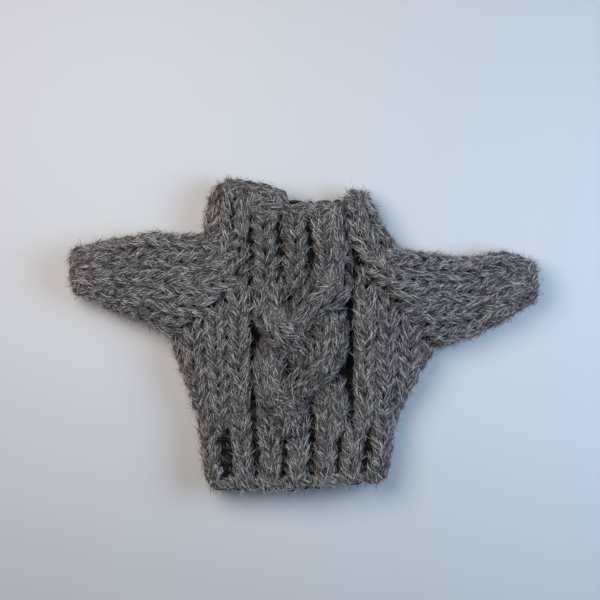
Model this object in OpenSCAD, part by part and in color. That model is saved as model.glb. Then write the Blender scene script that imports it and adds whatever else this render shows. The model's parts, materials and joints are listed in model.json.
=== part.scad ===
// Doll-size hand-knitted raglan pullover with a plaited cable, lying on its back, front side up.
// +X is the right of the picture, +Y runs from hem to neck, +Z is up. The origin is under the middle.

/* [Body] */
// Width of the ribbed hem at its lower edge, laid flat
hem_w = 50.8; // [44:0.2:60]
// Width of the ribbed hem where the body starts
hem_top_w = 55.6; // [48:0.2:64]
// Width of the body from underarm to underarm
chest_w = 74.2; // [66:0.2:90]
// Shift of the hem to the left of the origin
hem_shift = -1.5; // [-4:0.1:4]
// Height of the ribbed hem
hem_h = 19.0; // [10:0.5:24]
// Lowest edge of the garment, measured from the origin
hem_y = -44.3; // [-50:0.1:-40]
// Height of the underarms, measured from the origin
underarm_y = -3.2; // [-8:0.2:2]

/* [Sleeves] */
// Distance from the origin to a sleeve's fold line
fold_x = 45.5; // [42:0.1:50]
// Distance from the origin to the end of a cuff
cuff_x = 67.4; // [60:0.1:74]
// Width of the left sleeve at its fold, laid flat
left_fold_w = 24.6; // [18:0.2:28]
// Width of the left cuff, laid flat
left_cuff_w = 15.0; // [12:0.2:20]
// Height of the left sleeve's middle at its fold, from the origin
left_fold_y = 16.2; // [12:0.1:20]
// Height of the left cuff's middle, from the origin
left_cuff_y = 17.8; // [12:0.1:22]
// Width of the right sleeve at its fold, laid flat
right_fold_w = 22.4; // [18:0.2:28]
// Width of the right cuff, laid flat
right_cuff_w = 13.2; // [12:0.2:20]
// Height of the right sleeve's middle at its fold, from the origin
right_fold_y = 10.2; // [6:0.1:14]
// Height of the right cuff's middle, from the origin
right_cuff_y = 15.0; // [10:0.1:20]
// Length of a cuff's cast-on edge along the sleeve
cuff_l = 2.8; // [2:0.1:4]

/* [Neck] */
// Height of the fold line where the neck turns down, from the origin
neck_fold_y = 27.0; // [25:0.1:29]
// Height of the front neck edge, from the origin
neck_edge_y = 36.0; // [34:0.1:39]
// Highest point of the left sleeve's top
left_top_y = 44.3; // [40:0.1:46]
// Highest point of the right sleeve's top
right_top_y = 41.2; // [40:0.1:46]

/* [Fabric] */
// Thickness of one knitted layer
layer_t = 4.0; // [3:0.1:5]
// Clear height between the front and back layers
inner_h = 5.0; // [4.6:0.1:8]
// How far a rounded side edge reaches beyond the flat layers
edge_d = 4.0; // [3:0.1:5]
// Width of a raglan seam
seam_w = 2.0; // [1:0.1:3]
// Width of one strand of the plait
strand_w = 7.0; // [5:0.1:8]
// Height of one crossing of the plait
cross_h = 10.0; // [8:0.1:12]
// Clearance between parts that fold against each other
gap = 0.4; // [0.3:0.05:1]

/* [Hidden] */

// Heights of the two layers.
back_z = 0;
front_z = layer_t + inner_h;
total_h = 2 * layer_t + inner_h;
yarn_edge_d = 1.8;

// Corners of the body, walking up its left side and up its right side.
hem_bottom_left = [hem_shift - hem_w / 2, hem_y];
hem_top_left = [hem_shift - hem_top_w / 2, hem_y + hem_h];
underarm_left = [-chest_w / 2, underarm_y];
hem_bottom_right = [hem_shift + hem_w / 2, hem_y + 2];
hem_top_right = [hem_shift + hem_top_w / 2, hem_y + hem_h];
underarm_right = [chest_w / 2, underarm_y];

// Corners of the sleeves where they fold, and where the cuffs start.
cuff_start = cuff_x - cuff_l;
fold_low_left = [-fold_x, left_fold_y - left_fold_w / 2];
fold_top_left = [-fold_x, left_fold_y + left_fold_w / 2];
cuff_low_left = [-cuff_start, left_cuff_y - left_cuff_w / 2];
cuff_top_left = [-cuff_start, left_cuff_y + left_cuff_w / 2];
fold_low_right = [fold_x, right_fold_y - right_fold_w / 2];
fold_top_right = [fold_x, right_fold_y + right_fold_w / 2];
cuff_low_right = [cuff_start, right_cuff_y - right_cuff_w / 2];
cuff_top_right = [cuff_start, right_cuff_y + right_cuff_w / 2];

// Where the sleeves' tops meet the neck.
root_top_y = neck_fold_y - gap / 2;
neck_low_y = neck_fold_y + gap / 2;
shoulder_end_left = [-29.6, fold_top_left[1] + 0.4];
shoulder_end_right = [25.0, root_top_y];
shoulder_dip_right = [28.0, 22.6];

// The cable panel's sides, and the raglan lines from underarm to neck.
panel_left = -15.0;
panel_right = 12.0;
neck_left = -17.4;
neck_right = 9.8;

// A unit vector, and the normal on the left of the way from a to b.
function unit(v) = v / norm(v);
function normal(a, b) = let (d = unit(b - a)) [-d[1], d[0]];

// The outward vector at point i of a path that has the outside on its left, long enough for a true mitre.
function mitre(path, i) =
    let (a = max(i - 1, 0))
    let (b = min(i, len(path) - 2))
    let (n0 = normal(path[a], path[a + 1]))
    let (n1 = normal(path[b], path[b + 1]))
    (n0 + n1) / (1 + n0 * n1);

// The outward vector at an end that is cut along the direction dir.
function square_cut(n, dir) = dir / (n * dir);

// All outward vectors of a path, with its two ends cut along first and last.
function outward(path, first, last) =
    [for (i = [0 : len(path) - 1])
        i == 0 ? square_cut(normal(path[0], path[1]), first)
        : i == len(path) - 1 ? square_cut(normal(path[i - 1], path[i]), last)
        : mitre(path, i)];

function inside(path, out, d) = [for (i = [0 : len(path) - 1]) path[i] - out[i] * d];
function slice(list, from, to) = [for (i = [from : to]) list[i]];

// Outer edges of the garment, walked with the outside on the left.
low_left = [hem_bottom_left, hem_top_left, underarm_left, fold_low_left + [gap / 2, 0]];
low_left_out = outward(low_left, [-1, 0], [0, -1]);
low_left_in = inside(low_left, low_left_out, edge_d);
low_right = [fold_low_right - [gap / 2, 0], underarm_right, hem_top_right, hem_bottom_right];
low_right_out = outward(low_right, [0, -1], [1, 0]);
low_right_in = inside(low_right, low_right_out, edge_d);
top_left = [fold_top_left + [gap / 2, 0], shoulder_end_left];
top_left_out = outward(top_left, [0, 1], [0, 1]);
top_left_in = inside(top_left, top_left_out, edge_d);
top_right = [shoulder_end_right, shoulder_dip_right, fold_top_right - [gap / 2, 0]];
top_right_out = outward(top_right, [1, 0], [0, 1]);
top_right_in = inside(top_right, top_right_out, edge_d);
sleeve_low_left = [fold_low_left - [gap / 2, 0], cuff_low_left];
sleeve_low_left_out = outward(sleeve_low_left, [0, -1], [0, -1]);
sleeve_low_left_in = inside(sleeve_low_left, sleeve_low_left_out, edge_d);
sleeve_top_left = [cuff_top_left, fold_top_left - [gap / 2, 0]];
sleeve_top_left_out = outward(sleeve_top_left, [0, 1], [0, 1]);
sleeve_top_left_in = inside(sleeve_top_left, sleeve_top_left_out, edge_d);
sleeve_low_right = [cuff_low_right, fold_low_right + [gap / 2, 0]];
sleeve_low_right_out = outward(sleeve_low_right, [0, -1], [0, -1]);
sleeve_low_right_in = inside(sleeve_low_right, sleeve_low_right_out, edge_d);
sleeve_top_right = [fold_top_right + [gap / 2, 0], cuff_top_right];
sleeve_top_right_out = outward(sleeve_top_right, [0, 1], [0, 1]);
sleeve_top_right_in = inside(sleeve_top_right, sleeve_top_right_out, edge_d);

// A raglan line's middle, from the inner corner of the underarm to the neck, and its two sides.
raglan_left = [low_left_in[2], [neck_left, root_top_y]];
raglan_right = [low_right_in[1], [neck_right, root_top_y]];
function side_of(line, d) = [for (p = line) p + [d / unit(line[1] - line[0])[1], 0]];

// A flat layer of the fabric, from a plan outline.
module layer(outline, z, t = layer_t) {
    translate([0, 0, z])
        linear_extrude(t)
            polygon(outline);
}

// A rounded edge that joins the layers: a half ellipse carried along the inner line of an outer edge.
module edge(path, out, d, h, z, steps = 8) {
    inner = inside(path, out, d);
    n = len(path);
    k = steps + 1;
    points = [for (i = [0 : n - 1])
        for (s = [0 : steps])
            let (a = -90 + 180 * s / steps)
            let (p = inner[i] + out[i] * d * cos(a))
            [p[0], p[1], z + h / 2 + h / 2 * sin(a)]];
    walls = [for (i = [0 : n - 2])
        for (s = [0 : k - 1])
            let (t = (s + 1) % k)
            [i * k + s, i * k + t, (i + 1) * k + t, (i + 1) * k + s]];
    caps = [[for (s = [k - 1 : -1 : 0]) s], [for (s = [0 : k - 1]) (n - 1) * k + s]];
    polyhedron(points, concat(walls, caps), convexity = 4);
}

// The height at x of the straight line through p and q.
function line_y(p, q, x) = p[1] + (x - p[0]) * (q[1] - p[1]) / (q[0] - p[0]);
function between(p, q, t) = p + (q - p) * t;
function hem_line(x) = line_y(low_left_in[1], low_right_in[2], x);

// Plan outlines that the front and the back share.
left_field_side = side_of(raglan_left, seam_w / 2);
left_shoulder_side = side_of(raglan_left, -seam_w / 2);
right_field_side = side_of(raglan_right, -seam_w / 2);
right_shoulder_side = side_of(raglan_right, seam_w / 2);
left_armpit = between(low_left_in[2], low_left_in[3], 0.12);
right_armpit = between(low_right_in[1], low_right_in[0], 0.12);
left_shoulder_outline = [low_left_in[3], left_armpit, left_shoulder_side[1],
                         [shoulder_end_left[0], root_top_y], top_left_in[1], top_left_in[0]];
right_shoulder_outline = [low_right_in[0], top_right_in[2], top_right_in[1], top_right_in[0],
                          right_shoulder_side[1], right_armpit];
left_raglan_outline = [low_left_in[2], left_field_side[0], left_field_side[1],
                       left_shoulder_side[1], left_armpit];
right_raglan_outline = [low_right_in[1], right_armpit, right_shoulder_side[1],
                        right_field_side[1], right_field_side[0]];

// The hem's cast-on edge, and the flat rib above it.
cast_on_line = [low_right_in[3], low_left_in[0]];
cast_on_out = outward(cast_on_line, [0, -1], [0, -1]);
cast_on_in = inside(cast_on_line, cast_on_out, yarn_edge_d);
hem_outline = [cast_on_in[1], low_left_in[1], low_right_in[2], cast_on_in[0]];

// The neck's upper edges, from left to right.
front_neck_line = [[neck_left, left_top_y - 0.8], [-8, left_top_y - 1.8],
                   [-3.4, neck_edge_y], [neck_right - gap, neck_edge_y]];
front_neck_out = outward(front_neck_line, [0, 1], [0, 1]);
front_neck_in = inside(front_neck_line, front_neck_out, yarn_edge_d);
back_neck_line = [[neck_left, neck_edge_y - 0.6], [neck_right - gap, neck_edge_y - 0.6]];
back_neck_out = outward(back_neck_line, [0, 1], [0, 1]);
back_neck_in = inside(back_neck_line, back_neck_out, yarn_edge_d);

// Front of the body.
module front_left_field() {
    color("#7f7d80")
        layer([low_left_in[1], low_left_in[2], left_field_side[0], left_field_side[1],
               [panel_left, root_top_y], [panel_left, hem_line(panel_left)]], front_z);
}
module front_right_field() {
    color("#7f7d80")
        layer([[panel_right, hem_line(panel_right)],
               [panel_right, line_y(right_field_side[0], right_field_side[1], panel_right)],
               right_field_side[0], low_right_in[1], low_right_in[2]], front_z);
}
module front_cable_ground() {
    color("#5c5a5e")
        layer([[panel_left, hem_line(panel_left)], [panel_left, root_top_y],
               [right_field_side[1][0], root_top_y],
               [panel_right, line_y(right_field_side[0], right_field_side[1], panel_right)],
               [panel_right, hem_line(panel_right)]], front_z);
}

// One strand of the plait: an oval rope that swings across the panel and dives under the next one.
plait_x = (panel_left + panel_right) / 2 + 0.2;
plait_swing = 8.4;
plait_lift = 1.0;
plait_t = 1.2;
plait_low_y = hem_line(0) + 1;
plait_high_y = 18;
plait_cross_y = 12.4;
plait_steps = 26;
plait_sides = 10;
function plait_angle(y, turn) = 150 + turn + 60 * (plait_cross_y - y) / cross_h;
function plait_point(y, turn) =
    let (a = plait_angle(y, turn))
    [plait_x + plait_swing * sin(a), y, total_h + plait_t / 2 + plait_lift * (1 - sin(2 * a))];
module plait_strand(turn) {
    points = [for (i = [0 : plait_steps])
        let (y = plait_low_y + (plait_high_y - plait_low_y) * i / plait_steps)
        let (p = plait_point(y, turn))
        let (d = unit([plait_point(y + 0.1, turn)[0] - plait_point(y - 0.1, turn)[0], 0.2]))
        for (s = [0 : plait_sides - 1])
            let (a = 360 * s / plait_sides)
            [p[0] + cos(a) * d[1] * strand_w / 2,
             p[1] - cos(a) * d[0] * strand_w / 2,
             p[2] + sin(a) * plait_t / 2]];
    walls = [for (i = [0 : plait_steps - 1])
        for (s = [0 : plait_sides - 1])
            let (t = (s + 1) % plait_sides)
            [i * plait_sides + s, (i + 1) * plait_sides + s, (i + 1) * plait_sides + t, i * plait_sides + t]];
    caps = [[for (s = [0 : plait_sides - 1]) s],
            [for (s = [plait_sides - 1 : -1 : 0]) plait_steps * plait_sides + s]];
    polyhedron(points, concat(walls, caps), convexity = 6);
}
module plait_strand_a() {
    color("#8a888b")
        plait_strand(0);
}
module plait_strand_b() {
    color("#858386")
        plait_strand(120);
}
module plait_strand_c() {
    color("#807e82")
        plait_strand(240);
}

// Hem ribs, back of the body and cast-on edges.
module front_hem_rib() {
    color("#767478")
        layer(hem_outline, front_z);
}
module back_hem_rib() {
    color("#706e72")
        layer(hem_outline, back_z);
}
module cast_on_edge(z) {
    edge(cast_on_line, cast_on_out, yarn_edge_d, layer_t, z);
}
module front_hem_edge() {
    color("#8a888b")
        cast_on_edge(front_z);
}
module back_hem_edge() {
    color("#8a888b")
        cast_on_edge(back_z);
}
module back_panel() {
    color("#747276")
        layer([low_left_in[1], low_left_in[2], left_field_side[0], left_field_side[1],
               right_field_side[1], right_field_side[0], low_right_in[1], low_right_in[2]], back_z);
}

// Seams down the sides, and raglan seams sunk a little below the layers they join.
module left_side_seam() {
    color("#6c6a6e")
        edge(slice(low_left, 0, 2), slice(low_left_out, 0, 2), edge_d, total_h, 0);
}
module right_side_seam() {
    color("#6c6a6e")
        edge(slice(low_right, 1, 3), slice(low_right_out, 1, 3), edge_d, total_h, 0);
}
seam_sink = 0.6;
module raglan_seam(outline, z) {
    color("#626064")
        layer(outline, z + seam_sink, layer_t - 2 * seam_sink);
}
module left_front_raglan() {
    raglan_seam(left_raglan_outline, front_z);
}
module right_front_raglan() {
    raglan_seam(right_raglan_outline, front_z);
}
module left_back_raglan() {
    raglan_seam(left_raglan_outline, back_z);
}
module right_back_raglan() {
    raglan_seam(right_raglan_outline, back_z);
}

// Inner parts of the sleeves, between the raglan seams and the fold lines.
module left_shoulder_front() {
    color("#7c7a7e")
        layer(left_shoulder_outline, front_z);
}
module left_shoulder_back() {
    color("#727074")
        layer(left_shoulder_outline, back_z);
}
module right_shoulder_front() {
    color("#7c7a7e")
        layer(right_shoulder_outline, front_z);
}
module right_shoulder_back() {
    color("#727074")
        layer(right_shoulder_outline, back_z);
}
module left_shoulder_edge() {
    color("#78767a")
        edge(top_left, top_left_out, edge_d, total_h, 0);
}
module right_shoulder_edge() {
    color("#78767a")
        edge(top_right, top_right_out, edge_d, total_h, 0);
}
module left_underarm_seam() {
    color("#6c6a6e")
        edge(slice(low_left, 2, 3), slice(low_left_out, 2, 3), edge_d, total_h, 0);
}
module right_underarm_seam() {
    color("#6c6a6e")
        edge(slice(low_right, 0, 1), slice(low_right_out, 0, 1), edge_d, total_h, 0);
}

// Outer parts of the sleeves: two layers, a folded upper edge and a seam below.
left_sleeve_outline = [sleeve_low_left_in[0], sleeve_top_left_in[1], sleeve_top_left_in[0], sleeve_low_left_in[1]];
right_sleeve_outline = [sleeve_low_right_in[0], sleeve_top_right_in[1], sleeve_top_right_in[0], sleeve_low_right_in[1]];
module left_sleeve_front() {
    color("#7e7c80")
        layer(left_sleeve_outline, front_z);
}
module left_sleeve_back() {
    color("#727074")
        layer(left_sleeve_outline, back_z);
}
module left_sleeve_edge() {
    color("#78767a")
        edge(sleeve_top_left, sleeve_top_left_out, edge_d, total_h, 0);
}
module left_sleeve_seam() {
    color("#6c6a6e")
        edge(sleeve_low_left, sleeve_low_left_out, edge_d, total_h, 0);
}
module right_sleeve_front() {
    color("#7e7c80")
        layer(right_sleeve_outline, front_z);
}
module right_sleeve_back() {
    color("#727074")
        layer(right_sleeve_outline, back_z);
}
module right_sleeve_edge() {
    color("#78767a")
        edge(sleeve_top_right, sleeve_top_right_out, edge_d, total_h, 0);
}
module right_sleeve_seam() {
    color("#6c6a6e")
        edge(sleeve_low_right, sleeve_low_right_out, edge_d, total_h, 0);
}

// A cuff's cast-on edge: a short rounded ring around the sleeve's mouth.
cuff_wall = 2.4;
cuff_round = 4.5;
module rounded_rect(w, h, r) {
    square([w - 2 * r, h], center = true);
    square([w, h - 2 * r], center = true);
    for (sx = [-1, 1])
        for (sy = [-1, 1])
            translate([sx * (w / 2 - r), sy * (h / 2 - r)])
                circle(r, $fn = 48);
}
module cuff_ring(w) {
    rotate([90, 0, 90])
        linear_extrude(cuff_l)
            difference() {
                rounded_rect(w, total_h, cuff_round);
                rounded_rect(w - 2 * cuff_wall, total_h - 2 * cuff_wall, cuff_round - cuff_wall);
            }
}
module left_cuff() {
    color("#8a888b")
        translate([-cuff_x, left_cuff_y, total_h / 2])
            cuff_ring(left_cuff_w);
}
module right_cuff() {
    color("#8a888b")
        translate([cuff_start, right_cuff_y, total_h / 2])
            cuff_ring(right_cuff_w);
}

// The neck: ribs in front and behind, a raised left corner, and bound-off edges.
module front_neck_rib() {
    color("#807e82")
        layer([front_neck_in[2], front_neck_in[3], [front_neck_in[3][0], neck_low_y],
               [front_neck_in[2][0], neck_low_y]], front_z);
}
module front_neck_corner() {
    color("#7c7a7e")
        layer([[neck_left, neck_low_y], front_neck_in[0], front_neck_in[1], front_neck_in[2],
               [front_neck_in[2][0], neck_low_y]], front_z);
}
module back_neck_rib() {
    color("#706e72")
        layer([[back_neck_in[0][0], neck_low_y], back_neck_in[0], back_neck_in[1],
               [back_neck_in[1][0], neck_low_y]], back_z);
}
module front_neck_edge() {
    color("#8a888b")
        edge(front_neck_line, front_neck_out, yarn_edge_d, layer_t, front_z);
}
module back_neck_edge() {
    color("#8a888b")
        edge(back_neck_line, back_neck_out, yarn_edge_d, layer_t, back_z);
}

// The tops of the sleeves, doubled over beside the neck: soft rounded blocks.
top_round = 3.6;
top_z = total_h + 0.8;
top_bevel = 1.6;
module pillow(corners) {
    hull()
        for (p = corners)
            translate([p[0], p[1], 0]) {
                cylinder(r = top_round - top_bevel, h = top_z, $fn = 32);
                translate([0, 0, top_bevel])
                    cylinder(r = top_round, h = top_z - 2 * top_bevel, $fn = 32);
            }
}
left_top_side = shoulder_end_left[0] + gap;
top_low_y = neck_low_y + top_round;
module left_sleeve_top() {
    color("#7e7c80")
        pillow([[left_top_side + top_round, top_low_y],
                [left_top_side + top_round + 0.8, left_top_y - top_round - 0.6],
                [neck_left - top_round, left_top_y - top_round],
                [neck_left - top_round, top_low_y]]);
}
module right_sleeve_top() {
    color("#7e7c80")
        pillow([[neck_right + top_round, top_low_y],
                [neck_right + top_round, right_top_y - top_round],
                [neck_right + top_round + 3.6, right_top_y - top_round - 0.6],
                [shoulder_end_right[0] - top_round - 0.6, top_low_y]]);
}

front_left_field();
front_right_field();
front_cable_ground();
plait_strand_a();
plait_strand_b();
plait_strand_c();
front_hem_rib();
front_hem_edge();
back_panel();
back_hem_rib();
back_hem_edge();
left_side_seam();
right_side_seam();
left_front_raglan();
right_front_raglan();
left_back_raglan();
right_back_raglan();
left_shoulder_front();
left_shoulder_back();
left_shoulder_edge();
left_underarm_seam();
right_shoulder_front();
right_shoulder_back();
right_shoulder_edge();
right_underarm_seam();
left_sleeve_front();
left_sleeve_back();
left_sleeve_edge();
left_sleeve_seam();
left_cuff();
right_sleeve_front();
right_sleeve_back();
right_sleeve_edge();
right_sleeve_seam();
right_cuff();
front_neck_rib();
front_neck_corner();
back_neck_rib();
left_sleeve_top();
right_sleeve_top();
front_neck_edge();
back_neck_edge();
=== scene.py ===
"""Small hand-knitted raglan pullover in heather-grey wool, knitted here stitch by stitch.

Every knitted zone is made of real loops of yarn. A loop is worked out in three knitting coordinates:
c counts stitches across, r counts rows up, and w is the height off the fabric. A "cloth" function
then bends those coordinates onto the garment. Lengths are in millimetres until a mesh is made.
"""
import json
import math

import bpy
import numpy as np
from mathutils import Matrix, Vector

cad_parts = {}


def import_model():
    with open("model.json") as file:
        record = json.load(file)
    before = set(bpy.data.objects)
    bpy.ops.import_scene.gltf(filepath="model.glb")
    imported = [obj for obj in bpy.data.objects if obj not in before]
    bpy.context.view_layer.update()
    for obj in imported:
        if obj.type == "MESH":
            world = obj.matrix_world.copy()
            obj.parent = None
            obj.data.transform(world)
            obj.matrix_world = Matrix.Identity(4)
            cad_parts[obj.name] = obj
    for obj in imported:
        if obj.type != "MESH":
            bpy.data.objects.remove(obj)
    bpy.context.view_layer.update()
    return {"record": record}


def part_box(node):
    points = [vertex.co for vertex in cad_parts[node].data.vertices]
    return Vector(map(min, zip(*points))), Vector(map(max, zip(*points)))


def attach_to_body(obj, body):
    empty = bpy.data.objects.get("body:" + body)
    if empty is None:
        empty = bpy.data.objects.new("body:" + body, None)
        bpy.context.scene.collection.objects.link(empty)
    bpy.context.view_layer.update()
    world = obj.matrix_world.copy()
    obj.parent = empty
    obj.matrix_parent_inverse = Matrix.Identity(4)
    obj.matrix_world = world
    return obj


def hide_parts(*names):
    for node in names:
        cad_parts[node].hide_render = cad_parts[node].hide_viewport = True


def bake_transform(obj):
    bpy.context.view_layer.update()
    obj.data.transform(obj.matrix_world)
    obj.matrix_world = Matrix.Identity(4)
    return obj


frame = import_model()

MM = 0.001
SEED = 11

# ---------------------------------------------------------------- dimensions, in millimetres
ROW = 3.5            # height of one row
SLEEVE_ROW = 1.12    # a sleeve's rows are this many times as high
PLAIT_ROW = 1.02     # and the plait's this many times
YARN_WIDE = 1.20     # half width of a loop's leg across the fabric
YARN_FLAT = 0.92     # half thickness of the yarn
LOOP_DEEP = 1.05     # how far legs stand out, and heads lie back
LOOP_LEAN = 0.25     # how far a leg leans, in stitches
LOOP_TALL = 0.98     # how far a loop reaches above and below its row, in rows
SHAKE = 0.05         # unevenness of the knitting, in stitches and rows
LIFT_SHAKE = 0.14    # unevenness of its height off the fabric
AROUND = 10          # points around the yarn
PER_STITCH = 18      # points along the yarn in one stitch
EDGE = 4.0           # depth of the CAD model's rounded edges
ROLL = 4.4           # radius with which the fabric turns from front to back
SKIN = 1.9           # half thickness of the knitted layer
PRESSED = 0.5        # yarn lower than this is pressed flat on the table
SLEEVE_BEND = 10.0   # a distance to each side of a sleeve's fold; it bends nothing
NECK_BEND = 8.0      # pieces of body or neck that reach higher than this below the neck's fold are left in place
QUARTER = math.pi / 2 * ROLL        # way round a rounded edge, from its outermost line to the flat


def box(node):
    """A node's lowest and highest corners, in millimetres."""
    low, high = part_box(node)
    return np.array(low) / MM, np.array(high) / MM


def joint_place(name):
    """Where a joint's axis is, in metres."""
    return next(j for j in frame["record"]["behaviour"]["joints"] if j["name"] == name)["pos_m"]


def smooth(x, low, high):
    """Rises from 0 at low to 1 at high."""
    t = np.clip((np.asarray(x, float) - low) / (high - low), 0, 1)
    return t * t * (3 - 2 * t)


def through(x, knots):
    """A smooth curve through (position, value) knots: linear between them, with the corners rounded."""
    xs, ys = zip(*sorted(knots))
    x = np.asarray(x, float)
    near = [np.interp(x + d, xs, ys) for d in (-2.4, -1.2, 0, 1.2, 2.4)]
    return sum(near) / len(near)


def unit(v):
    """The vectors, made one long."""
    return v / np.maximum(np.linalg.norm(v, axis=-1, keepdims=True), 1e-9)


def length_along(line):
    """Distance along a line from its start to each of its points."""
    step = np.linalg.norm(np.diff(line, axis=0), axis=1)
    return np.concatenate([[0], np.cumsum(step)])


TOP = box("front_left_field")[1][2] - SKIN - 0.1      # middle of the front layer
BOTTOM = SKIN + 0.15                                  # middle of the back layer
MIDDLE = (TOP + BOTTOM) / 2
HALF = (TOP - BOTTOM) / 2

HEM_LOW = box("front_hem_edge")[0][1] + 1.2
HEM_HIGH = box("front_hem_rib")[1][1]
HEM_RISE = 2.0                                        # the cast-on edge lies higher at its right end
HEM_LEFT = box("front_hem_edge")[0][0] - EDGE
HEM_RIGHT = box("front_hem_edge")[1][0] + EDGE
HEM_TOP_LEFT = box("front_hem_rib")[0][0] - EDGE
HEM_TOP_RIGHT = box("front_hem_rib")[1][0] + EDGE
MID_X = (HEM_TOP_LEFT + HEM_TOP_RIGHT) / 2
FIELD_LOW = HEM_HIGH - 1.3                            # the first row above the hem rib
ARM_LEFT = box("left_side_seam")[0][0]
ARM_RIGHT = box("right_side_seam")[1][0]
ARM_Y = box("left_underarm_seam")[0][1]
PANEL_LEFT = box("front_cable_ground")[0][0] - 0.4
PANEL_RIGHT = box("front_cable_ground")[1][0] + 2.3
NECK_LEFT = box("back_neck_rib")[0][0]
NECK_RIGHT = box("back_neck_rib")[1][0] + 0.4
NECK_TOP = box("back_neck_edge")[1][1] + 0.6
CORNER_RIGHT = box("front_neck_corner")[1][0]
PLAIT_LOW = box("plait_strand_a")[0][1] + 1.2
PLAIT_TOP = box("plait_strand_a")[1][1]
NECK_FOLD = joint_place("neck_fold")[1] / MM
FOLD_LEFT = joint_place("left_sleeve_fold")[0] / MM
FOLD_RIGHT = joint_place("right_sleeve_fold")[0] / MM


# ---------------------------------------------------------------- yarn

SPIN = 0.55                               # how fast the yarn's strands turn round it, in radians per mm
END_SIZE = 0.25                           # size of a yarn's first and last rings
FIBRE_SIDES = 3                           # points around a fibre
FIBRE_RINGS = np.array([0, 0.5, 1.0])     # places of its rings along it
TAPER = np.array([1.0, 0.8, 0.2])         # thickness of a fibre at those rings
PER_FIBRE = FIBRE_SIDES * len(FIBRE_RINGS)
SHOWN_EDGES = ("cuff", "hem_edge", "neck_edge")       # here the heads of the loops show too


def tube_faces(starts, around):
    """Faces from each ring of points to the next one, given the index of each ring's first point."""
    a = np.arange(around)
    b = (a + 1) % around
    start = starts[..., None]
    return np.stack([start + a, start + b, start + around + b, start + around + a], -1).reshape(-1, 4)


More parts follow.
